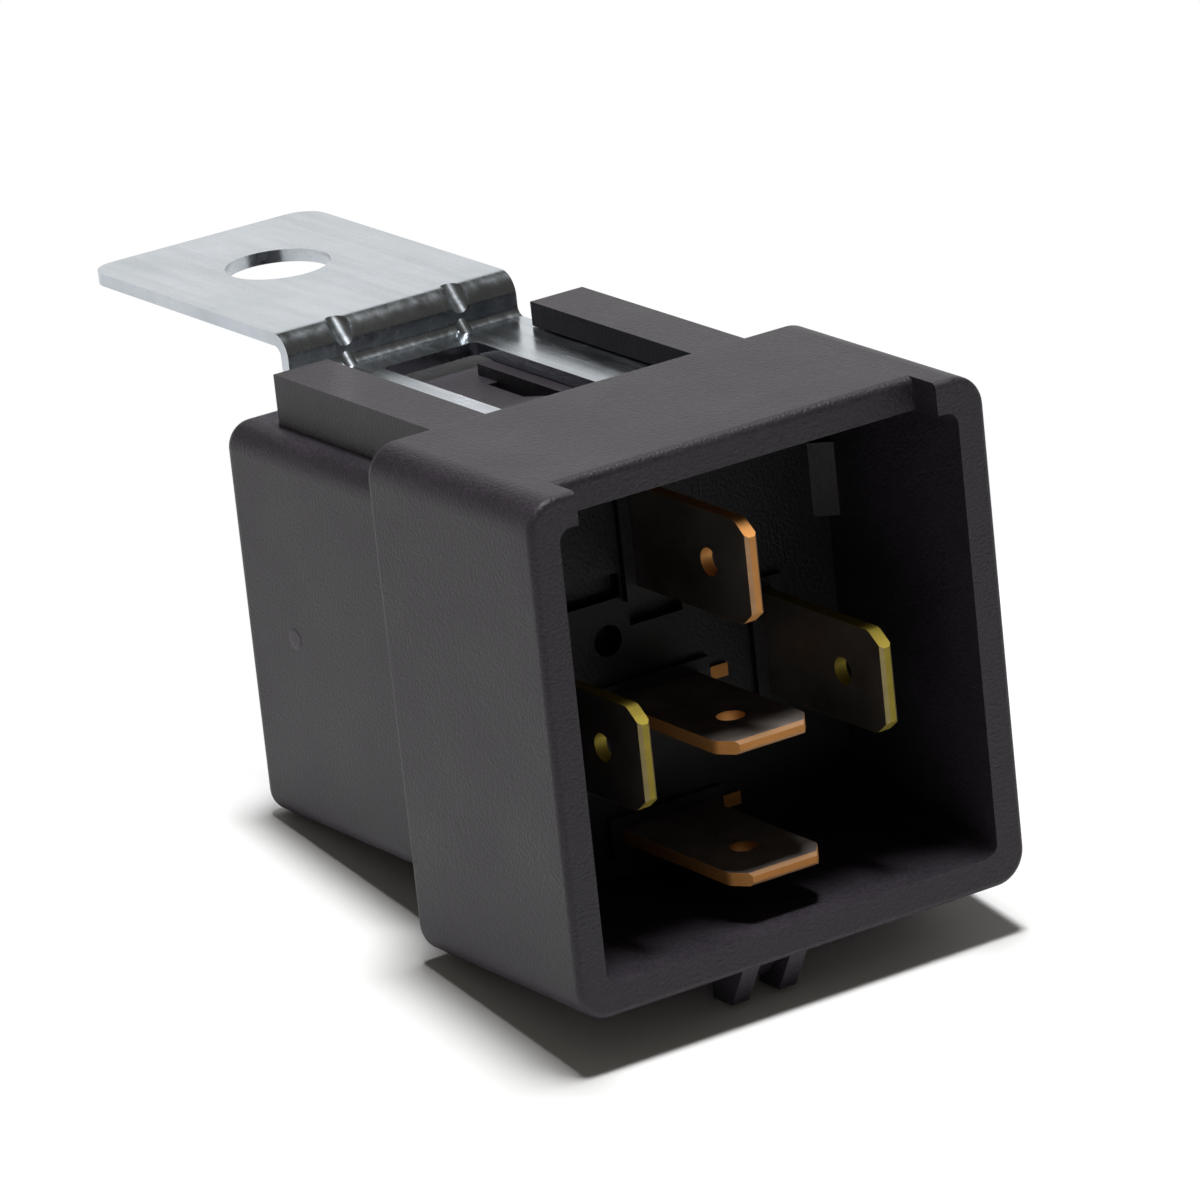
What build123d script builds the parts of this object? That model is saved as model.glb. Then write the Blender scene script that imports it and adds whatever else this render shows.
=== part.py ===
from build123d import *
import math
import os

# A sealed-type changeover relay with five flat blades in an open skirt and a snapped-on steel bracket.
# The origin is the centre of the blade pattern on the base's outer face. -Y leaves the skirt's mouth,
# +X is to the right as the mouth is seen, and +Z points to the side that carries the bracket.

# Blades: the pattern, the flat tab, and the upper blade's tang in the yoke
side_pin_x = 8.4
outer_pin_z = 8.9
middle_pin_z = -0.9
blade_width = 6.3
blade_thick = 0.8
blade_reach = 12.4
tip_cut = 0.9
tip_taper = 1.2
tip_round = 0.8
tip_bevel = 0.2
detent_hole_d = 1.7
detent_to_tip = 4.1
tang_height = 2.1

# Cover: the closed case behind the base
case_width = 25.8
case_top = 14.05
case_bottom = -10.5
case_rear = 23.75
case_wall = 1.0
case_corner_r = 1.6
case_rear_r = 0.9

# Cover: the open skirt round the blades
skirt_width = 31.3
skirt_top = 17.4
skirt_bottom = -13.55
skirt_rear = 3.0
skirt_mouth = -14.0
skirt_wall = 1.95
skirt_corner_r = 2.0
skirt_inner_r = 0.8
skirt_rear_r = 0.5
rim_r = 0.4
notch_depth = 2.2
notch_lip_r = 0.55
ear_width = 3.3
bead_height = 4.5
bead_top = 11.0
bead_proud = 1.2
bead_depth = 1.0

# Cover: the two rails, the slide ribs and the snap wedge that hold the bracket
rail_outer_x = 10.95
rail_inner_x = 7.2
rail_rear = 20.5
rail_step = 0.17
rail_edge_r = 0.35
slide_rib_height = 0.72
slide_rib_inner_x = 2.35
slide_rib_width = 1.85
slide_rib_rear = 19.1
wedge_width = 3.3
wedge_height = 1.3
wedge_run = 6.0
relief_depth = 0.5
relief_front = 7.6
relief_rear = 17.0

# Cover: the catch under the skirt that a plug latches to
catch_x = -2.1
catch_width = 4.5
catch_depth = 2.5
catch_lead = 1.5
catch_flat = 1.9
catch_rib = 1.2
catch_recess = 0.9

# Bracket
sheet = 0.8
bend_r = 0.6
tab_half_width = 8.12
jog_rise = 2.62
jog_front = 23.2
tab_end = 46.5
tab_corner_r = 1.8
bolt_hole_d = 6.5
bolt_hole_y = 37.2
plate_front = 4.6
plate_lead_in = 0.8
window_half_width = 3.3
window_front = 7.0
window_rear = 20.6
window_corner_r = 0.5
dart_x = 4.1
dart_dent_r = 0.8
dart_dent_sink = 0.5
dart_dent_reach = 1.5
dart_bump_r = 0.5
dart_bump_top = 0.3
dart_bump_reach = 0.85

# Base
base_flange = 1.4
base_plug = 2.0
base_fit = 0.1
base_corner_r = 0.7
collar_margin = 0.8
collar_height = 0.5
vent_d = 1.9
vent_x = -2.5
vent_z = 2.85
vent_depth = 1.6
recess_depth = 0.9
# The two shallow slots beside the upper blade: centre x and z, width, height
recesses = ((-3.2, 6.0, 3.7, 1.5), (0.95, 3.9, 3.7, 1.1))
# Tabs of the two level terminals that show beside their blades
lock_tab_x = 4.7
lock_tab_width = 1.2
lock_tab_proud = 0.3
lock_wing = 1.5

# Magnet
steel_thick = 1.4
yoke_width = 12.0
yoke_bend_r = 1.0
horn_reach = 1.3
horn_width = 1.4
core_d = 6.0
core_tenon_d = 4.0
pole_d = 9.2
pole_thick = 0.85
bobbin_wall = 0.75
bobbin_flange = 0.85
bobbin_over_yoke = 0.8
bobbin_corner = 1.0
winding_set_in = 0.6
foot_overhang = 6.2
post_width = 1.25
post_reach = 3.6
lead_d = 0.3
lead_set_in = 0.8

# Armature and contacts
strip_space = 1.9
rear_space = 4.75
open_angle = 3.0
armature_thick = 1.2
armature_bevel = 0.4
armature_corner = 1.2
armature_below_pole = 2.1
neck_length = 1.6
strip_thick = 0.25
strip_width = 8.4
strip_on_yoke = 8.5
strip_bend_r = 0.5
strip_slot_width = 3.6
strip_slot_reach = 2.0
tongue_width = 4.8
tongue_top = 8.0
tongue_past_contact = 0.5
rivet_d = 1.4
rivet_head_d = 2.2
rivet_head = 0.4
rivet_x = 2.7
rivet_from_pivot = 5.5
contact_d = 3.0
contact_shank_d = 1.5
contact_head = 0.6
contact_back = 0.5
contact_down = 17.9
fixed_contact_thick = 0.45
contact_gap = 0.03
arm_half_width = 2.4
contact_plate_rise = 4.2
side_arm_x = 4.6
side_arm_width = 2.6
side_arm_z = -5.4
side_arm_sink = 0.7
nc_plate_drop = 3.5

# Clearances
slide_clear = 0.05
groove_clear = 0.1
snap_clear = 0.12
pin_clear = 0.03
pivot_clear = 0.03
pole_clear = 0.05
strip_clear = 0.05
horn_clear = 0.1
strip_hole_clear = 0.1
flange_clear = 0.1

# Places worked out from the sizes above
case_height = case_top - case_bottom
case_mid_z = (case_top + case_bottom) / 2
case_inner_top = case_top - case_wall
case_inner_rear = case_rear - case_wall
case_inner_width = case_width - 2 * case_wall
skirt_height = skirt_top - skirt_bottom
skirt_mid_z = (skirt_top + skirt_bottom) / 2
skirt_inner_half = skirt_width / 2 - skirt_wall
plate_bottom = case_top + slide_rib_height + slide_clear
plate_top = plate_bottom + sheet
plate_mid = plate_bottom + sheet / 2
tab_mid = plate_mid + jog_rise
jog_mid = jog_front + sheet / 2
rail_top = skirt_top - rail_step
base_inner = base_flange + base_plug
pins = {
    "30": (0, outer_pin_z, blade_thick, blade_width),
    "85": (-side_pin_x, 0, blade_thick, blade_width),
    "86": (side_pin_x, 0, blade_thick, blade_width),
    "87": (0, -outer_pin_z, blade_width, blade_thick),
    "87a": (0, middle_pin_z, blade_width, blade_thick),
}
pivot_y = case_inner_rear - rear_space
pivot_z = case_inner_top - strip_space
yoke_end = pivot_y - pivot_clear
leg_bottom = pivot_z - steel_thick
foot_inner = base_inner + steel_thick
bobbin_size = yoke_width + bobbin_over_yoke
winding_d = bobbin_size - 2 * winding_set_in
coil_z = leg_bottom - flange_clear - bobbin_size / 2
foot_bottom = coil_z - foot_overhang
pole_face = pivot_y - pole_clear
coil_end = pole_face - pole_thick
armature_neck = yoke_width - 2 * (horn_width + horn_clear)
armature_length = pivot_z - coil_z + pole_d / 2 + armature_below_pole
outer_head = armature_thick + strip_thick + contact_back
swing = math.radians(open_angle)
contact_z = pivot_z - contact_down
no_face = pivot_y + armature_thick - contact_head - contact_gap
no_plate = no_face - fixed_contact_thick
nc_face = (
    pivot_y
    + (contact_down + contact_d / 2) * math.sin(swing)
    + outer_head * math.cos(swing)
    + contact_gap
)
nc_plate = nc_face + fixed_contact_thick


def across(y):
    """Plane across the relay at y: its x is X, its y is Z, and an extrusion runs towards the mouth."""
    return Plane.XZ.offset(-y)


def armature_plane(outward=0.0):
    """Plane of the open armature: its y runs down from the pivot, an extrusion away from the coil."""
    outward_dir = (0, math.cos(swing), math.sin(swing))
    flat = Plane(origin=(0, pivot_y, pivot_z), x_dir=(1, 0, 0), z_dir=outward_dir)
    return flat.offset(outward)


def make_blade(plane, back):
    """Flat tab with a tapered tip: the plane's x runs to the tip and its y across the width."""
    half = blade_width / 2
    with BuildPart() as blade:
        with BuildSketch(plane) as outline:
            with BuildLine():
                Polyline(
                    (-back, -half),
                    (blade_reach - tip_taper, -half),
                    (blade_reach, -half + tip_cut),
                    (blade_reach, half - tip_cut),
                    (blade_reach - tip_taper, half),
                    (-back, half),
                    close=True,
                )
            make_face()
            fillet(outline.vertices().group_by(Axis.X)[-2], tip_round)
            with Locations((blade_reach - detent_to_tip, 0)):
                Circle(detent_hole_d / 2, mode=Mode.SUBTRACT)
        extrude(amount=blade_thick / 2, both=True)
        tip = blade.faces().sort_by(Axis.Y)[0]
        chamfer(tip.edges().sort_by(SortBy.LENGTH)[-2:], tip_bevel)
    return blade.part


def upright(x, z):
    """Plane of a blade that stands along Z."""
    return Plane(origin=(x, 0, z), x_dir=(0, -1, 0), z_dir=(1, 0, 0))


def level(x, z):
    """Plane of a blade that lies along X."""
    return Plane(origin=(x, 0, z), x_dir=(0, -1, 0), z_dir=(0, 0, 1))


def faces_at(piece, y):
    """Flat faces that stand across the relay at y."""
    return piece.faces().filter_by(Axis.Y).filter_by_position(Axis.Y, y - 0.01, y + 0.01)


def write(piece, name):
    """Labels a finished piece and writes its file."""
    piece.part.label = name
    export_step(piece.part, f"parts/{name}.step")


os.makedirs("parts", exist_ok=True)

# Cover: case, skirt, rails, snap wedge, catch
with BuildPart() as cover:
    with BuildSketch(across(skirt_rear)):
        with Locations((0, skirt_mid_z)):
            RectangleRounded(skirt_width, skirt_height, skirt_corner_r)
    extrude(amount=skirt_rear - skirt_mouth)
    fillet(cover.faces().sort_by(Axis.Y)[-1].edges(), skirt_rear_r)
    fillet(cover.faces().sort_by(Axis.Y)[0].edges(), rim_r)
    with BuildSketch(across(case_rear)):
        with Locations((0, case_mid_z)):
            RectangleRounded(case_width, case_height, case_corner_r)
    extrude(amount=case_rear - skirt_rear + skirt_wall)
    fillet(cover.faces().sort_by(Axis.Y)[-1].edges(), case_rear_r)

    # Rails with a groove for the bracket's edges
    rail_width = rail_outer_x - rail_inner_x
    rail_foot = case_top - case_wall / 2
    groove_x = tab_half_width + groove_clear
    with BuildSketch(across(rail_rear)):
        for side in (-1, 1):
            with Locations((side * (rail_inner_x + rail_width / 2), (rail_top + rail_foot) / 2)):
                Rectangle(rail_width, rail_top - rail_foot)
    extrude(amount=rail_rear - skirt_rear + skirt_rear_r)
    rail_edges = faces_at(cover, rail_rear).edges()
    fillet(rail_edges.filter_by_position(Axis.Z, case_top + sheet, skirt_top), rail_edge_r)
    with BuildSketch(across(rail_rear)):
        with Locations((0, plate_mid)):
            Rectangle(2 * groove_x, sheet + 2 * groove_clear)
    extrude(amount=rail_rear - plate_front + groove_clear, mode=Mode.SUBTRACT)

    # Slide ribs under the bracket, and the wedge that snaps into its window
    with BuildSketch(across(slide_rib_rear)):
        for side in (-1, 1):
            with Locations((side * (slide_rib_inner_x + slide_rib_width / 2), case_top)):
                Rectangle(slide_rib_width, 2 * slide_rib_height)
    extrude(amount=slide_rib_rear - skirt_rear)
    wedge_face = window_front + snap_clear
    with BuildSketch(Plane.YZ):
        with BuildLine():
            Polyline(
                (wedge_face, case_top - case_wall / 2),
                (wedge_face, case_top + wedge_height),
                (wedge_face + wedge_run, case_top),
                (wedge_face + wedge_run, case_top - case_wall / 2),
                close=True,
            )
        make_face()
    extrude(amount=wedge_width / 2, both=True)
    relief_width = slide_rib_inner_x - wedge_width / 2
    relief_x = wedge_width / 2 + relief_width / 2
    with BuildSketch(Plane.XY.offset(case_top)):
        for side in (-1, 1):
            with Locations((side * relief_x, (relief_front + relief_rear) / 2)):
                Rectangle(relief_width, relief_rear - relief_front)
    extrude(amount=-relief_depth, mode=Mode.SUBTRACT)

    # Catch: two ribs and a recessed web, with a lead-in from the mouth and a steep rear face
    catch_foot = skirt_mouth + rim_r
    catch_rear = catch_foot + catch_lead + catch_flat
    catch_root = skirt_bottom + skirt_wall / 2
    rib_offset = (catch_width - catch_rib) / 2
    for rib_x, rib_width, set_in in (
        (catch_x - rib_offset, catch_rib, 0),
        (catch_x, catch_width - 2 * catch_rib, catch_recess),
        (catch_x + rib_offset, catch_rib, 0),
    ):
        with BuildSketch(Plane.YZ.offset(rib_x)):
            with BuildLine():
                Polyline(
                    (catch_foot + set_in, catch_root),
                    (catch_foot + set_in, skirt_bottom),
                    (catch_foot + catch_lead + set_in, skirt_bottom - catch_depth + set_in),
                    (catch_rear, skirt_bottom - catch_depth + set_in),
                    (catch_rear, catch_root),
                    close=True,
                )
            make_face()
        extrude(amount=rib_width / 2, both=True)

    # Hollow of the skirt, notch in its upper lip, and hollow of the case
    with BuildSketch(across(base_flange)):
        with Locations((0, skirt_mid_z)):
            RectangleRounded(skirt_width - 2 * skirt_wall, skirt_height - 2 * skirt_wall, skirt_inner_r)
    extrude(amount=base_flange - skirt_mouth, mode=Mode.SUBTRACT)
    with BuildSketch(across(skirt_mouth + notch_depth)):
        with Locations((0, skirt_top)):
            Rectangle(skirt_width - 2 * ear_width, 2 * (skirt_wall + rim_r))
    extrude(amount=2 * notch_depth, mode=Mode.SUBTRACT)
    lip = faces_at(cover, skirt_mouth + notch_depth).sort_by(Axis.Z)[-1]
    fillet(lip.edges().sort_by(Axis.Z)[-1], notch_lip_r)
    with BuildSketch(across(case_inner_rear)):
        with Locations((0, case_mid_z)):
            RectangleRounded(case_inner_width, case_height - 2 * case_wall, case_corner_r - case_wall)
    extrude(amount=case_inner_rear - base_flange, mode=Mode.SUBTRACT)

    # Beads that hold the base against the shoulder
    with BuildSketch(Plane.XY.offset(bead_top)):
        for side in (-1, 1):
            with BuildLine():
                Polyline(
                    (side * skirt_inner_half, -pin_clear),
                    (side * (skirt_inner_half - bead_proud), -pin_clear),
                    (side * skirt_inner_half, -pin_clear - bead_depth),
                    close=True,
                )
            make_face()
    extrude(amount=-bead_height)
write(cover, "cover")

# Base: flange in the skirt, plug in the case, a slot for each blade
with BuildPart() as base:
    with BuildSketch(across(base_flange)):
        with Locations((0, skirt_mid_z)):
            RectangleRounded(
                skirt_width - 2 * skirt_wall - 2 * base_fit,
                skirt_height - 2 * skirt_wall - 2 * base_fit,
                base_corner_r,
            )
    extrude(amount=base_flange)
    with BuildSketch(across(base_inner)):
        with Locations((0, case_mid_z)):
            RectangleRounded(
                case_inner_width - 2 * base_fit, case_height - 2 * case_wall - 2 * base_fit, base_corner_r
            )
    extrude(amount=base_plug)
    with BuildSketch(across(0)):
        for x, z, w, h in pins.values():
            with Locations((x, z)):
                Rectangle(w + 2 * collar_margin, h + 2 * collar_margin)
    extrude(amount=collar_height)
    with BuildSketch(across(base_inner)):
        for x, z, w, h in pins.values():
            with Locations((x, z)):
                Rectangle(w + 2 * pin_clear, h + 2 * pin_clear)
    extrude(amount=base_inner + collar_height, mode=Mode.SUBTRACT)
    with BuildSketch(across(base_inner)):
        with Locations((lock_tab_x, middle_pin_z), (lock_tab_x, -outer_pin_z)):
            Rectangle(lock_tab_width + 2 * pin_clear, blade_thick + 2 * pin_clear)
    extrude(amount=base_inner, mode=Mode.SUBTRACT)
    # The lowest terminal runs in an open channel in the plug's edge
    channel_left = -blade_width / 2 - pin_clear
    channel_right = lock_tab_x + lock_tab_width / 2 + pin_clear
    with BuildSketch(across(base_inner)):
        with Locations(((channel_left + channel_right) / 2, -outer_pin_z - blade_thick)):
            Rectangle(channel_right - channel_left, 2 * blade_thick)
    extrude(amount=base_plug, mode=Mode.SUBTRACT)
    # Pocket for the crosspiece of the middle terminal
    side_arm_right = side_arm_x + side_arm_width
    pocket_top = middle_pin_z + blade_thick / 2 + pin_clear
    pocket_bottom = side_arm_z - blade_thick / 2 - pin_clear
    with BuildSketch(across(base_inner)):
        with Locations(((channel_left + side_arm_right + pin_clear) / 2, (pocket_top + pocket_bottom) / 2)):
            Rectangle(side_arm_right + pin_clear - channel_left, pocket_top - pocket_bottom)
    extrude(amount=side_arm_sink + blade_thick, mode=Mode.SUBTRACT)
    # Breathing hole and the two shallow slots beside the upper blade
    with BuildSketch(across(vent_depth)):
        with Locations((vent_x, vent_z)):
            Circle(vent_d / 2)
    extrude(amount=vent_depth, mode=Mode.SUBTRACT)
    with BuildSketch(across(recess_depth)):
        for x, z, w, h in recesses:
            with Locations((x, z)):
                Rectangle(w, h)
    extrude(amount=recess_depth, mode=Mode.SUBTRACT)
write(base, "base")

# Bracket: one strip, jogged up behind the case, with a window for the snap wedge
with BuildPart() as bracket:
    with BuildLine() as strip:
        FilletPolyline(
            (0, plate_front, plate_mid),
            (0, jog_mid, plate_mid),
            (0, jog_mid, tab_mid),
            (0, tab_end, tab_mid),
            radius=bend_r + sheet / 2,
        )
    with BuildSketch(across(plate_front)):
        with Locations((0, plate_mid)):
            Rectangle(2 * tab_half_width, sheet)
    sweep(path=strip.line)
    fillet(bracket.edges().filter_by(Axis.Z).group_by(Axis.Y)[-1], tab_corner_r)
    chamfer(bracket.edges().filter_by(Axis.Z).group_by(Axis.Y)[0], plate_lead_in)
    with BuildSketch(Plane.XY.offset(plate_mid)):
        with Locations((0, (window_front + window_rear) / 2)):
            RectangleRounded(2 * window_half_width, window_rear - window_front, window_corner_r)
    extrude(amount=sheet, both=True, mode=Mode.SUBTRACT)
    with BuildSketch(Plane.XY.offset(tab_mid)):
        with Locations((0, bolt_hole_y)):
            Circle(bolt_hole_d / 2)
    extrude(amount=sheet, both=True, mode=Mode.SUBTRACT)
    # Pressed darts stiffen both bends: a rib across the hollow side and a dent in the other
    diagonal = 1 / math.sqrt(2)
    rib_centre = (dart_bump_top + dart_bump_r) * diagonal
    dent_centre = (bend_r + sheet + dart_dent_r - dart_dent_sink) * diagonal
    upper_bend = (jog_front + sheet + bend_r, tab_mid - sheet / 2 - bend_r, -1)
    lower_bend = (jog_front - bend_r, plate_top + bend_r, 1)
    for y, z, way in (upper_bend, lower_bend):
        for centre, radius, reach, mode in (
            (rib_centre, dart_bump_r, dart_bump_reach, Mode.ADD),
            (dent_centre, dart_dent_r, dart_dent_reach, Mode.SUBTRACT),
        ):
            start = (0, y + way * centre, z - way * centre)
            with BuildSketch(Plane(origin=start, x_dir=(1, 0, 0), z_dir=(0, 1, 1))):
                with Locations((-dart_x, 0), (dart_x, 0)):
                    Circle(radius)
            extrude(amount=reach, both=True, mode=mode)
write(bracket, "bracket")

# Terminals: each is one stamping, a blade outside and its working end inside
blade_30 = make_blade(upright(0, outer_pin_z), base_inner)
with BuildPart() as terminal_30:
    add(blade_30)
    with BuildSketch(across(foot_inner)):
        with Locations((0, outer_pin_z)):
            Rectangle(blade_thick, tang_height)
    extrude(amount=steel_thick + blade_thick)
write(terminal_30, "terminal_30")

post_z = blade_width / 2 - post_width / 2
for name, x in (("terminal_85", -side_pin_x), ("terminal_86", side_pin_x)):
    side_blade = make_blade(upright(x, 0), base_inner)
    with BuildPart() as side_terminal:
        add(side_blade)
        with BuildSketch(across(base_inner + post_reach)):
            with Locations((x, post_z)):
                Rectangle(blade_thick, post_width)
        extrude(amount=post_reach + blade_thick)
    write(side_terminal, name)

# The normally open terminal runs under the coil and turns up to carry its contact
blade_87 = make_blade(level(0, -outer_pin_z), base_inner)
plate_87_bottom = -outer_pin_z - blade_thick / 2
with BuildPart() as terminal_87:
    add(blade_87)
    with BuildSketch(across(no_plate)):
        with Locations((0, -outer_pin_z)):
            Rectangle(2 * arm_half_width, blade_thick)
    extrude(amount=no_plate - base_inner + blade_thick)
    with BuildSketch(across(no_plate)):
        with Locations((0, plate_87_bottom + contact_plate_rise / 2)):
            Rectangle(2 * arm_half_width, contact_plate_rise)
    extrude(amount=blade_thick)
    wing_width = lock_tab_x + lock_tab_width / 2
    with BuildSketch(across(base_inner + lock_wing)):
        with Locations((wing_width / 2, -outer_pin_z)):
            Rectangle(wing_width, blade_thick)
    extrude(amount=lock_wing)
    with BuildSketch(across(base_inner)):
        with Locations((lock_tab_x, -outer_pin_z)):
            Rectangle(lock_tab_width, blade_thick)
    extrude(amount=base_inner + lock_tab_proud)
write(terminal_87, "terminal_87")

# The normally closed terminal crosses inside the base and passes the coil to reach behind the armature
crosspiece = base_inner - side_arm_sink
blade_87a = make_blade(level(0, middle_pin_z), crosspiece)
arm_mid_x = side_arm_x + side_arm_width / 2
arm_top = side_arm_z + blade_thick / 2
arm_bottom = side_arm_z - blade_thick / 2
cross_top = middle_pin_z + blade_thick / 2
nc_left = -contact_d / 2
with BuildPart() as terminal_87a:
    add(blade_87a)
    with BuildSketch(across(crosspiece)):
        with Locations(((side_arm_right - blade_width / 2) / 2, (cross_top + arm_bottom) / 2)):
            Rectangle(side_arm_right + blade_width / 2, cross_top - arm_bottom)
    extrude(amount=blade_thick)
    with BuildSketch(across(nc_plate + blade_thick)):
        with Locations((arm_mid_x, side_arm_z)):
            Rectangle(side_arm_width, blade_thick)
    extrude(amount=nc_plate + blade_thick - crosspiece)
    with BuildSketch(across(nc_plate + blade_thick)):
        with Locations(((nc_left + side_arm_right) / 2, arm_top - nc_plate_drop / 2)):
            Rectangle(side_arm_right - nc_left, nc_plate_drop)
    extrude(amount=blade_thick)
    with BuildSketch(across(crosspiece)):
        with Locations((lock_tab_x, middle_pin_z)):
            Rectangle(lock_tab_width, blade_thick)
    extrude(amount=crosspiece + lock_tab_proud)
write(terminal_87a, "terminal_87a")

# Fixed contacts
for name, face, back in (("contact_open", no_face, no_plate), ("contact_closed", nc_plate, nc_face)):
    with BuildPart() as fixed_contact:
        with BuildSketch(across(face)):
            with Locations((0, contact_z)):
                Circle(contact_d / 2)
        extrude(amount=face - back)
    write(fixed_contact, name)

# Yoke: foot under the coil, leg beside it, horns that guide the armature
with BuildPart() as yoke:
    with BuildSketch(Plane.YZ):
        with BuildLine():
            Polyline(
                (base_inner, foot_bottom),
                (foot_inner, foot_bottom),
                (foot_inner, leg_bottom),
                (yoke_end, leg_bottom),
                (yoke_end, pivot_z),
                (base_inner, pivot_z),
                close=True,
            )
        make_face()
    extrude(amount=yoke_width / 2, both=True)
    fillet(yoke.edges().filter_by(Axis.X).group_by(Axis.Z)[-1].sort_by(Axis.Y)[0], yoke_bend_r)
    with BuildSketch(across(yoke_end + horn_reach)):
        for side in (-1, 1):
            with Locations((side * (yoke_width - horn_width) / 2, (pivot_z + leg_bottom) / 2)):
                Rectangle(horn_width, steel_thick)
    extrude(amount=horn_reach)
    with BuildSketch(across(foot_inner)):
        with Locations((0, coil_z)):
            Circle(core_tenon_d / 2)
        with Locations((0, outer_pin_z)):
            Rectangle(blade_thick + 2 * pin_clear, tang_height + 2 * pin_clear)
    extrude(amount=steel_thick, mode=Mode.SUBTRACT)
    with BuildSketch(Plane.XY.offset(pivot_z)):
        with Locations((-rivet_x, pivot_y - rivet_from_pivot), (rivet_x, pivot_y - rivet_from_pivot)):
            Circle(rivet_d / 2)
    extrude(amount=-steel_thick, mode=Mode.SUBTRACT)
write(yoke, "yoke")

# Core with its pole disc and the tenon staked in the foot
with BuildPart() as core:
    with BuildSketch(across(pole_face)):
        with Locations((0, coil_z)):
            Circle(pole_d / 2)
    extrude(amount=pole_thick)
    with BuildSketch(across(coil_end)):
        with Locations((0, coil_z)):
            Circle(core_d / 2)
    extrude(amount=coil_end - foot_inner)
    with BuildSketch(across(foot_inner)):
        with Locations((0, coil_z)):
            Circle(core_tenon_d / 2)
    extrude(amount=steel_thick)
write(core, "core")

# Bobbin and winding
bobbin_bore = core_d / 2 + pin_clear
barrel_r = core_d / 2 + bobbin_wall
with BuildPart() as bobbin:
    for back in (foot_inner + bobbin_flange, coil_end):
        with BuildSketch(across(back)):
            with Locations((0, coil_z)):
                flange = Rectangle(bobbin_size, bobbin_size)
            chamfer(flange.vertices(), bobbin_corner)
        extrude(amount=bobbin_flange)
    with BuildSketch(across(coil_end)):
        with Locations((0, coil_z)):
            Circle(barrel_r)
    extrude(amount=coil_end - foot_inner)
    with BuildSketch(across(coil_end)):
        with Locations((0, coil_z)):
            Circle(bobbin_bore)
    extrude(amount=coil_end - foot_inner, mode=Mode.SUBTRACT)
write(bobbin, "bobbin")

winding_front = foot_inner + bobbin_flange
winding_back = coil_end - bobbin_flange
with BuildPart() as coil_winding:
    with BuildSketch(across(winding_back)):
        with Locations((0, coil_z)):
            Circle(winding_d / 2)
            Circle(barrel_r, mode=Mode.SUBTRACT)
    extrude(amount=winding_back - winding_front)
write(coil_winding, "coil_winding")

lead_y = winding_front + lead_set_in
for name, side in (("coil_lead_85", -1), ("coil_lead_86", 1)):
    with BuildPart() as lead:
        with BuildSketch(Plane.YZ.offset(side * (side_pin_x - blade_thick / 2))):
            with Locations((lead_y, post_z)):
                Circle(lead_d / 2)
        extrude(amount=-side * (side_pin_x - blade_thick / 2 - winding_d / 2))
    write(lead, name)

# Armature: plate over the pole with a neck between the horns
with BuildPart() as armature:
    with BuildSketch(armature_plane()):
        with Locations((0, (neck_length + armature_length) / 2)):
            plate = Rectangle(bobbin_size, armature_length - neck_length)
        chamfer(plate.vertices(), armature_corner)
        with Locations((0, neck_length)):
            Rectangle(armature_neck, 2 * neck_length)
        with Locations((-rivet_x, rivet_from_pivot), (rivet_x, rivet_from_pivot)):
            Circle(rivet_d / 2, mode=Mode.SUBTRACT)
    extrude(amount=armature_thick)
    top_edges = armature.edges().filter_by(Axis.X).group_by(Axis.Z)[-1]
    chamfer(top_edges.sort_by(Axis.Y)[-1], armature_bevel)
write(armature, "armature")

# Spring strip: riveted to the yoke, bent round the armature's end and down its back to the contact
strip_z = pivot_z + strip_clear + strip_thick / 2
strip_out = armature_thick + strip_thick / 2
strip_end = contact_down + contact_d / 2 + tongue_past_contact
corner_y = pivot_y + (strip_out - (strip_z - pivot_z) * math.sin(swing)) / math.cos(swing)
end_y = pivot_y + strip_end * math.sin(swing) + strip_out * math.cos(swing)
end_z = pivot_z - strip_end * math.cos(swing) + strip_out * math.sin(swing)
strip_front = pivot_y - strip_on_yoke
with BuildPart() as contact_spring:
    with BuildLine() as strip_path:
        FilletPolyline(
            (0, strip_front, strip_z),
            (0, corner_y, strip_z),
            (0, end_y, end_z),
            radius=strip_bend_r,
        )
    with BuildSketch(across(strip_front)):
        with Locations((0, strip_z)):
            Rectangle(strip_width, strip_thick)
    sweep(path=strip_path.line)
    # The bend is slotted so that it flexes, and the part below the head narrows to a tongue
    with BuildSketch(across(nc_plate)):
        with Locations((0, pivot_z)):
            Rectangle(strip_slot_width, 2 * strip_slot_reach)
    extrude(amount=nc_plate - pivot_y, mode=Mode.SUBTRACT)
    tongue_length = strip_end - tongue_top
    with BuildSketch(armature_plane(armature_thick - strip_thick)):
        for side in (-1, 1):
            with Locations((side * (tongue_width + strip_width) / 2, tongue_top + tongue_length)):
                Rectangle(strip_width, 2 * tongue_length)
        with Locations((-rivet_x, rivet_from_pivot), (rivet_x, rivet_from_pivot)):
            Circle(rivet_d / 2)
        with Locations((0, contact_down)):
            Circle(contact_shank_d / 2)
    extrude(amount=3 * strip_thick, mode=Mode.SUBTRACT)
    with BuildSketch(Plane.XY.offset(pivot_z)):
        with Locations((-rivet_x, pivot_y - rivet_from_pivot), (rivet_x, pivot_y - rivet_from_pivot)):
            Circle(rivet_d / 2 + strip_hole_clear)
    extrude(amount=2 * strip_space, mode=Mode.SUBTRACT)
write(contact_spring, "contact_spring")

for name, x in (("armature_rivet_left", -rivet_x), ("armature_rivet_right", rivet_x)):
    with BuildPart() as armature_rivet:
        with BuildSketch(armature_plane()):
            with Locations((x, rivet_from_pivot)):
                Circle(rivet_d / 2)
        extrude(amount=armature_thick + strip_thick)
        with BuildSketch(armature_plane(armature_thick + strip_thick)):
            with Locations((x, rivet_from_pivot)):
                Circle(rivet_head_d / 2)
        extrude(amount=rivet_head)
    write(armature_rivet, name)

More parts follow.
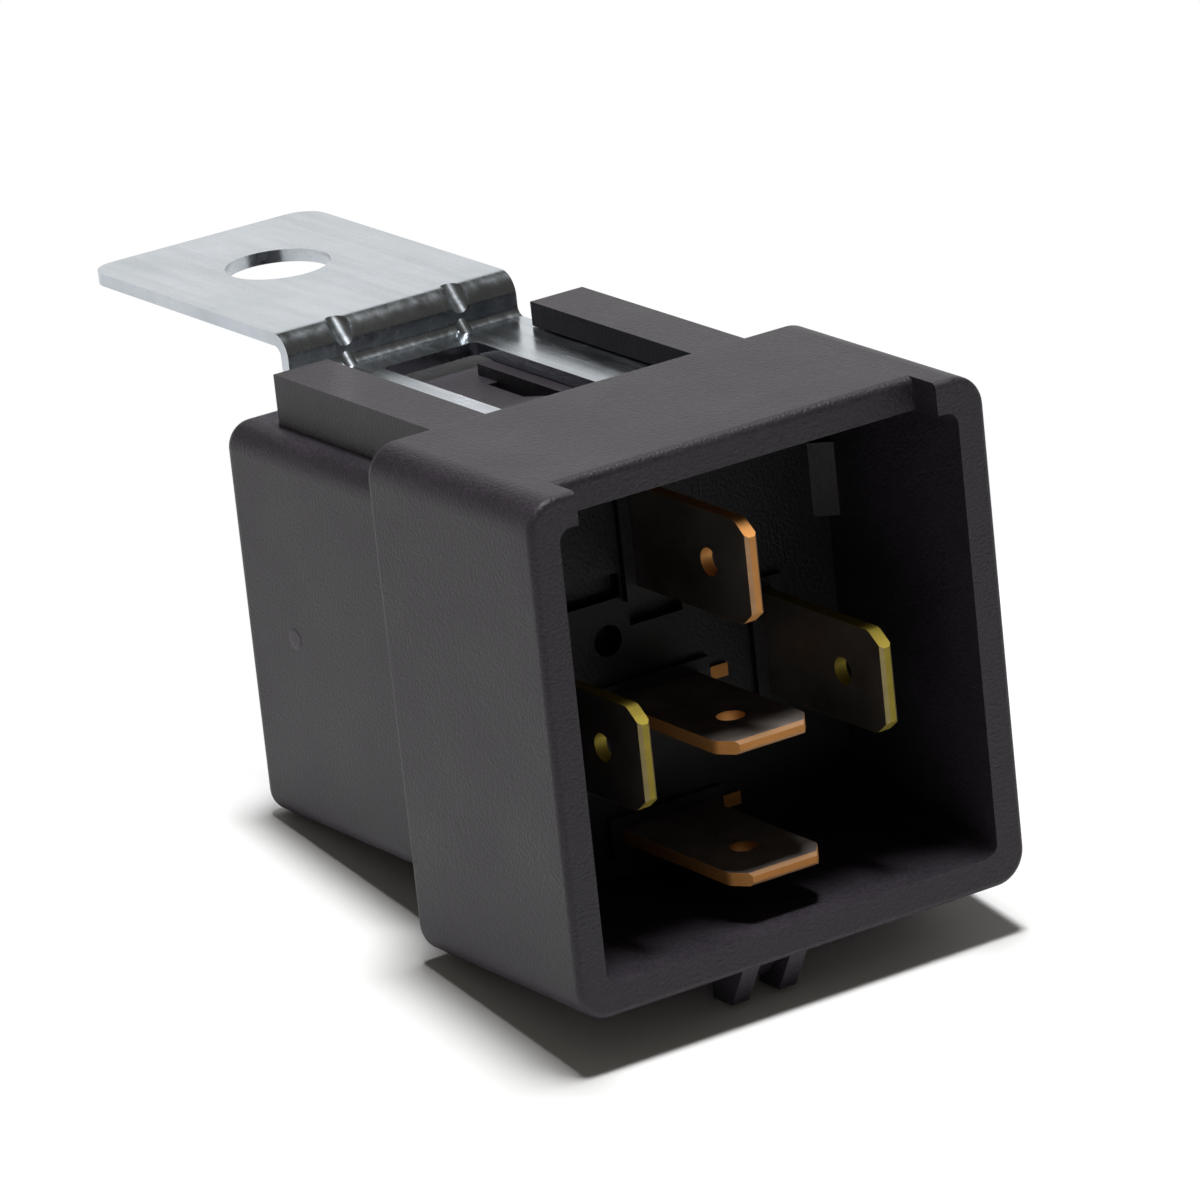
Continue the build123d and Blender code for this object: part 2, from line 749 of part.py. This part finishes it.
rivet_seat = pivot_z + 2 * strip_clear + strip_thick
for name, x in (("yoke_rivet_left", -rivet_x), ("yoke_rivet_right", rivet_x)):
    with BuildPart() as yoke_rivet:
        with BuildSketch(Plane.XY.offset(leg_bottom)):
            with Locations((x, pivot_y - rivet_from_pivot)):
                Circle(rivet_d / 2)
        extrude(amount=rivet_seat - leg_bottom)
        with BuildSketch(Plane.XY.offset(rivet_seat)):
            with Locations((x, pivot_y - rivet_from_pivot)):
                Circle(rivet_head_d / 2 + strip_hole_clear)
        extrude(amount=rivet_head)
    write(yoke_rivet, name)

with BuildPart() as moving_contact:
    with BuildSketch(armature_plane(armature_thick - contact_head)):
        with Locations((0, contact_down)):
            Circle(contact_d / 2)
    extrude(amount=contact_head)
    with BuildSketch(armature_plane(armature_thick)):
        with Locations((0, contact_down)):
            Circle(contact_shank_d / 2)
    extrude(amount=strip_thick)
    with BuildSketch(armature_plane(armature_thick + strip_thick)):
        with Locations((0, contact_down)):
            Circle(contact_d / 2)
    extrude(amount=contact_back)
write(moving_contact, "moving_contact")
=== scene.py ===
import bpy
from mathutils import Matrix, Vector


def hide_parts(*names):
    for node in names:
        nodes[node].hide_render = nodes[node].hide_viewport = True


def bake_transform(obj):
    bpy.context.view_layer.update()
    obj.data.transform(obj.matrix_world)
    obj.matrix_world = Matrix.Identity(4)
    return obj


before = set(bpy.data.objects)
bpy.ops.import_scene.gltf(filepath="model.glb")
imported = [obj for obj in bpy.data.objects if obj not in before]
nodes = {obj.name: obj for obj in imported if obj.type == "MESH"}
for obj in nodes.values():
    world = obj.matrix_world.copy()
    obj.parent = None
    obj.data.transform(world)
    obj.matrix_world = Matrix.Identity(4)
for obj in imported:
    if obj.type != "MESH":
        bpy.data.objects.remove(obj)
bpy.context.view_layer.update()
scene = bpy.context.scene
scene.view_settings.view_transform = "Standard"

# Most values of a noise texture lie between these two
noise_low = 0.3
noise_high = 0.7


class Nodes:
    """A small helper that builds one node material. Its lengths are in metres."""

    def __init__(self, name):
        self.mat = bpy.data.materials.new(name)
        self.mat.use_nodes = True
        self.tree = self.mat.node_tree
        self.shader = self.tree.nodes["Principled BSDF"]
        self.coords = self.tree.nodes.new("ShaderNodeTexCoord")

    def add(self, kind, **settings):
        node = self.tree.nodes.new(kind)
        for key, value in settings.items():
            setattr(node, key, value)
        return node

    def link(self, output, socket):
        self.tree.links.new(output, socket)

    def feed(self, socket, value):
        """Sets the socket to a plain value, or links an output to it."""
        if isinstance(value, (int, float, tuple)):
            socket.default_value = value
        else:
            self.link(value, socket)

    def noise(self, scale, detail, rough, stretch=(1, 1, 1)):
        """Noise in object coordinates, with its three axes scaled by stretch."""
        mapping = self.add("ShaderNodeMapping")
        mapping.inputs["Scale"].default_value = stretch
        self.link(self.coords.outputs["Object"], mapping.inputs["Vector"])
        node = self.add("ShaderNodeTexNoise")
        node.inputs["Scale"].default_value = scale
        node.inputs["Detail"].default_value = detail
        node.inputs["Roughness"].default_value = rough
        self.link(mapping.outputs["Vector"], node.inputs["Vector"])
        return node.outputs["Fac"]

    def two_tone(self, noise, dark, pale):
        """A colour that follows a noise from dark to pale."""
        node = self.add("ShaderNodeValToRGB")
        first, last = node.color_ramp.elements
        first.position = noise_low
        first.color = dark
        last.position = noise_high
        last.color = pale
        self.link(noise, node.inputs["Fac"])
        return node.outputs["Color"]

    def span(self, value, low, high, to_low, to_high):
        """Maps low to to_low and high to to_high, and stays there beyond them."""
        node = self.add("ShaderNodeMapRange")
        node.inputs["From Min"].default_value = low
        node.inputs["From Max"].default_value = high
        node.inputs["To Min"].default_value = to_low
        node.inputs["To Max"].default_value = to_high
        self.link(value, node.inputs["Value"])
        return node.outputs["Result"]

    def spread(self, noise, low, high):
        """A number that follows a noise from low to high."""
        return self.span(noise, noise_low, noise_high, low, high)

    def math(self, operation, a, b):
        node = self.add("ShaderNodeMath", operation=operation)
        self.feed(node.inputs[0], a)
        self.feed(node.inputs[1], b)
        return node.outputs[0]

    def mix(self, share, first, second):
        """The first colour, with that share of the second one in it."""
        node = self.add("ShaderNodeMix", data_type="RGBA")
        # The node holds sockets for numbers, vectors and colours, and these are the ones for colours
        share_socket = 0
        first_socket = 6
        second_socket = 7
        colour_output = 2
        self.feed(node.inputs[share_socket], share)
        self.feed(node.inputs[first_socket], first)
        self.feed(node.inputs[second_socket], second)
        return node.outputs[colour_output]

    def edge(self, radius):
        """1 along the edges and 0 on the open faces."""
        bevel = self.add("ShaderNodeBevel", samples=6)
        bevel.inputs["Radius"].default_value = radius
        geometry = self.add("ShaderNodeNewGeometry")
        agreement = self.add("ShaderNodeVectorMath", operation="DOT_PRODUCT")
        self.link(bevel.outputs["Normal"], agreement.inputs[0])
        self.link(geometry.outputs["Normal"], agreement.inputs[1])
        open_face = 0.98
        full_edge = 0.65
        return self.span(agreement.outputs["Value"], open_face, full_edge, 0, 1)

    def bump(self, height, strength, distance, under=None):
        node = self.add("ShaderNodeBump")
        node.inputs["Strength"].default_value = strength
        node.inputs["Distance"].default_value = distance
        self.link(height, node.inputs["Height"])
        if under is not None:
            self.link(under, node.inputs["Normal"])
        return node.outputs["Normal"]

    def finish(self, **values):
        """Feeds the main shader's sockets and returns the material."""
        for key, value in values.items():
            self.feed(self.shader.inputs[key.replace("_", " ")], value)
        return self.mat


def grey(level, tint=(1, 1, 1)):
    return (level * tint[0], level * tint[1], level * tint[2], 1)


def moulded_plastic(name, dark, pale, roughness, grain, speckle=0.45, gate=None):
    """Moulded plastic: spark-eroded grain, slow changes of sheen, and edges made paler in patches, partly
    as wear and partly as a painted highlight.
    speckle is how much the hollows of the grain darken. gate is the place and radius of a gate mark."""
    wear_and_highlight_radius = 0.0004
    wear_and_highlight_share = 0.5
    sheen_swing = 0.05
    grain_height = 0.0001
    cloud_height = 0.00015
    n = Nodes(name)
    fine = n.noise(scale=grain, detail=3, rough=0.55)
    cloud = n.noise(scale=120, detail=5, rough=0.6)
    patches = n.span(n.noise(scale=900, detail=4, rough=0.7), 0.4, 0.65, 0.2, 1)
    pale_tone = grey(1.7, pale)
    hollows = n.span(fine, 0.35, 0.65, speckle, 0)

    colour = n.two_tone(cloud, dark, pale)
    # Edges turn paler in random patches: partly wear, partly a painted highlight along every edge
    worn_and_highlit_edges = n.math("MULTIPLY", n.edge(wear_and_highlight_radius), patches)
    colour = n.mix(n.math("MULTIPLY", worn_and_highlit_edges, wear_and_highlight_share), colour, pale_tone)
    colour = n.mix(hollows, colour, grey(0.004))
    slow = n.spread(cloud, roughness - sheen_swing, roughness + sheen_swing)
    quick = n.spread(fine, -sheen_swing, sheen_swing)
    rough = n.math("ADD", slow, quick)
    bump = n.bump(fine, 0.6, grain_height, n.bump(cloud, 0.15, cloud_height))
    if gate:
        gate_place, gate_radius = gate
        away = n.add("ShaderNodeVectorMath", operation="DISTANCE")
        away.inputs[1].default_value = gate_place
        n.link(n.coords.outputs["Object"], away.inputs[0])
        mark = n.span(away.outputs["Value"], gate_radius * 0.7, gate_radius, 1, 0)
        colour = n.mix(n.math("MULTIPLY", mark, 0.35), colour, pale_tone)
        bump = n.bump(mark, 0.6, grain_height, bump)
    return n.finish(Base_Color=colour, Roughness=rough, Normal=bump, IOR=1.42)


# Rolling and drawing lines in metal: how far they swing the roughness, and their depth
line_swing = 0.06
line_height = 0.00003


def brass(name, flat_axis, edge_colour, roughness=0.42):
    """Blade brass: dulled brown faces square to flat_axis, and bright, rougher sheared sides and holes."""
    face_dark = (0.24, 0.2, 0.18, 1)
    face_pale = (0.42, 0.37, 0.34, 1)
    edge_radius = 0.0001
    edge_roughness = 0.2
    n = Nodes(name)
    lines = n.noise(scale=1600, detail=3, rough=0.6, stretch=(0.08, 1, 1))
    cloud = n.noise(scale=160, detail=5, rough=0.65)
    normal = n.add("ShaderNodeSeparateXYZ")
    n.link(n.coords.outputs["Normal"], normal.inputs[0])
    flat = n.math("ABSOLUTE", normal.outputs[flat_axis], 0)
    sheared = n.math("MAXIMUM", n.span(flat, 0.9, 0.6, 0, 1), n.edge(edge_radius))

    colour = n.mix(sheared, n.two_tone(cloud, face_dark, face_pale), edge_colour)
    lined = n.spread(lines, roughness - line_swing, roughness + line_swing)
    rough = n.math("ADD", lined, n.spread(cloud, -0.05, 0.06))
    rough = n.math("ADD", rough, n.math("MULTIPLY", sheared, edge_roughness))
    bump = n.bump(lines, 0.1, line_height)
    return n.finish(Base_Color=colour, Metallic=1.0, Roughness=rough, Normal=bump)


def metal(name, dark, pale, roughness, stretch=(1, 1, 1), grain=900, depth=0.08):
    """Rolled or drawn metal: fine lines along the axis that stretch makes small, and stains."""
    n = Nodes(name)
    lines = n.noise(scale=grain, detail=3, rough=0.6, stretch=stretch)
    cloud = n.noise(scale=150, detail=5, rough=0.65)
    colour = n.two_tone(cloud, dark, pale)
    lined = n.spread(lines, roughness - line_swing, roughness + line_swing)
    rough = n.math("ADD", lined, n.spread(cloud, -0.04, 0.05))
    bump = n.bump(lines, depth, line_height)
    return n.finish(Base_Color=colour, Metallic=1.0, Roughness=rough, Normal=bump)


def dress(mat, *names):
    for name in names:
        slots = nodes[name].material_slots
        if slots:
            for slot in slots:
                slot.material = mat
        else:
            nodes[name].data.materials.append(mat)


# The gate mark is on the case's left side
gate_mark = ((-0.0129, 0.0179, 0.0018), 0.0007)
purple = (1.1, 0.88, 1.22)
orange = (0.58, 0.29, 0.095, 1)
yellow = (0.34, 0.27, 0.05, 1)

cover_mat = moulded_plastic(
    "cover_plastic", grey(0.02, purple), grey(0.03, purple), roughness=0.5, grain=5200, gate=gate_mark
)
# The base is the cover's kind of plastic made far darker: painted shade for the deep mouth of the skirt it
# sits in
base_mat = moulded_plastic(
    "base_plastic", grey(0.004, purple), grey(0.007, purple), roughness=0.55, grain=4200
)
bobbin_mat = moulded_plastic(
    "bobbin_plastic",
    (0.5, 0.45, 0.35, 1),
    (0.58, 0.53, 0.43, 1),
    roughness=0.45,
    grain=3000,
    speckle=0.05,
)
zinc_mat = metal(
    "zinc_steel",
    (0.362, 0.4, 0.43, 1),
    (0.49, 0.522, 0.563, 1),
    roughness=0.24,
    stretch=(1, 0.06, 1),
    grain=1400,
    depth=0.06,
)
steel_mat = metal(
    "magnet_steel",
    (0.5, 0.5, 0.48, 1),
    (0.64, 0.64, 0.62, 1),
    roughness=0.33,
    stretch=(1, 0.1, 1),
    grain=1300,
)
silver_mat = metal("contact_silver", (0.75, 0.74, 0.7, 1), (0.86, 0.85, 0.82, 1), roughness=0.25)
bronze_mat = metal(
    "spring_bronze", (0.55, 0.34, 0.18, 1), (0.68, 0.45, 0.26, 1), roughness=0.3, stretch=(1, 1, 0.1)
)
# The winding's lines run round the coil, close together along it
wire_mat = metal(
    "copper_wire",
    (0.45, 0.16, 0.06, 1),
    (0.62, 0.26, 0.1, 1),
    roughness=0.3,
    stretch=(0.05, 3, 0.05),
    grain=700,
    depth=0.4,
)
rivet_mat = metal("rivet_steel", grey(0.45), grey(0.6), roughness=0.35)

dress(cover_mat, "cover")
dress(base_mat, "base")
dress(bobbin_mat, "bobbin")
dress(zinc_mat, "bracket")
dress(brass("brass_upper", "X", orange), "terminal_30")
dress(brass("brass_side", "X", yellow), "terminal_85", "terminal_86")
dress(brass("brass_level", "Z", orange, roughness=0.52), "terminal_87", "terminal_87a")
dress(steel_mat, "yoke", "core", "armature")
dress(silver_mat, "contact_open", "contact_closed", "moving_contact")
dress(bronze_mat, "contact_spring")
dress(wire_mat, "coil_winding", "coil_lead_85", "coil_lead_86")
dress(rivet_mat, "armature_rivet_left", "armature_rivet_right", "yoke_rivet_left", "yoke_rivet_right")

# The spring strip is riveted flat on the yoke and bends between the rivets and the armature. A copy of its
# mesh, with its placement baked in, stands in for it, and the original is hidden.
strip = nodes["contact_spring"]
bending_strip = bpy.data.objects.new("bending_strip", strip.data.copy())
scene.collection.objects.link(bending_strip)
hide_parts("contact_spring")
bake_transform(bending_strip)

# The floor touches the catch in front and the case's lower rear edge, so it leans in the relay's frame
contact_front = Vector((0, -0.0102, -0.01605))
contact_rear = Vector((0, 0.0230, -0.01049))
along = (contact_rear - contact_front).normalized()
across = Vector((1, 0, 0))
floor_gap = 0.0001
floor_half = 0.6
floor_centre = contact_front - across.cross(along).normalized() * floor_gap
floor_mesh = bpy.data.meshes.new("floor")
floor_corners = [
    floor_centre + across * side * floor_half + along * end * floor_half
    for side, end in ((-1, -1), (1, -1), (1, 1), (-1, 1))
]
floor_mesh.from_pydata(floor_corners, [], [(0, 1, 2, 3)])
floor = bpy.data.objects.new("floor", floor_mesh)
scene.collection.objects.link(floor)

# To the camera the paper turns plain white behind the case and far off, so only the near shadow shows
fade_length = 0.006
far_start = 0.08
far_end = 0.12
paper = Nodes("floor_paper")
paper.finish(Base_Color=grey(0.86), Roughness=0.9)
place = paper.add("ShaderNodeSeparateXYZ")
paper.link(paper.coords.outputs["Object"], place.inputs[0])
behind = paper.span(place.outputs["Y"], contact_rear.y, contact_rear.y + fade_length, 0, 1)
distance = paper.add("ShaderNodeVectorMath", operation="LENGTH")
paper.link(paper.coords.outputs["Object"], distance.inputs[0])
far_off = paper.span(distance.outputs["Value"], far_start, far_end, 0, 1)
camera_ray = paper.add("ShaderNodeLightPath").outputs["Is Camera Ray"]
seen_plain = paper.math("MULTIPLY", paper.math("MAXIMUM", behind, far_off), camera_ray)
plain = paper.add("ShaderNodeEmission")
either = paper.add("ShaderNodeMixShader")
paper.link(seen_plain, either.inputs[0])
paper.link(paper.shader.outputs[0], either.inputs[1])
paper.link(plain.outputs[0], either.inputs[2])
paper.link(either.outputs[0], paper.tree.nodes["Material Output"].inputs["Surface"])
floor.data.materials.append(paper.mat)

# Camera as solved from the photograph, in the relay's frame
image_right = Vector((0.82606545, -0.55443917, -0.10105982))
image_down = Vector((-0.25398023, -0.20616253, -0.94498204))
view_ahead = Vector((0.50310031, 0.80628421, -0.31112033))
camera_place = Vector((-0.24403, -0.38667, 0.15463))
focal_length_px = 8316.3
photo_width_px = 1200
sensor_width_mm = 36.0
camera_data = bpy.data.cameras.new("camera")
camera_data.sensor_width = sensor_width_mm
camera_data.lens = sensor_width_mm * focal_length_px / photo_width_px
camera_data.clip_start = 0.01
camera = bpy.data.objects.new("camera", camera_data)
scene.collection.objects.link(camera)
turn = Matrix((image_right, -image_down, -view_ahead)).transposed().to_4x4()
camera.matrix_world = Matrix.Translation(camera_place) @ turn
scene.camera = camera


def softbox(name, place, width, height, watts):
    """A soft lamp that is aimed at the middle of the frame."""
    data = bpy.data.lights.new(name, "AREA")
    data.shape = "RECTANGLE"
    data.size = width
    data.size_y = height
    data.energy = watts
    lamp = bpy.data.objects.new(name, data)
    lamp.location = place
    lamp.rotation_euler = (-Vector(place)).to_track_quat("-Z", "Y").to_euler()
    scene.collection.objects.link(lamp)


softbox("overhead", (0.06, -0.04, 1.15), width=0.2, height=0.2, watts=16.5)
softbox("rear", (0.54, 0.62, 0.29), width=0.9, height=0.5, watts=1.5)

# The room is dim and warm, and white where the camera looks past the floor
world = bpy.data.worlds.new("studio")
scene.world = world
world.use_nodes = True
tree = world.node_tree
room = tree.nodes["Background"]
room.inputs["Color"].default_value = (1.0, 0.94, 0.82, 1)
room.inputs["Strength"].default_value = 0.09
white = tree.nodes.new("ShaderNodeBackground")
white.inputs["Color"].default_value = (1, 1, 1, 1)
white.inputs["Strength"].default_value = 1.0
path = tree.nodes.new("ShaderNodeLightPath")
mix = tree.nodes.new("ShaderNodeMixShader")
tree.links.new(path.outputs["Is Camera Ray"], mix.inputs[0])
tree.links.new(room.outputs[0], mix.inputs[1])
tree.links.new(white.outputs[0], mix.inputs[2])
tree.links.new(mix.outputs[0], tree.nodes["World Output"].inputs["Surface"])
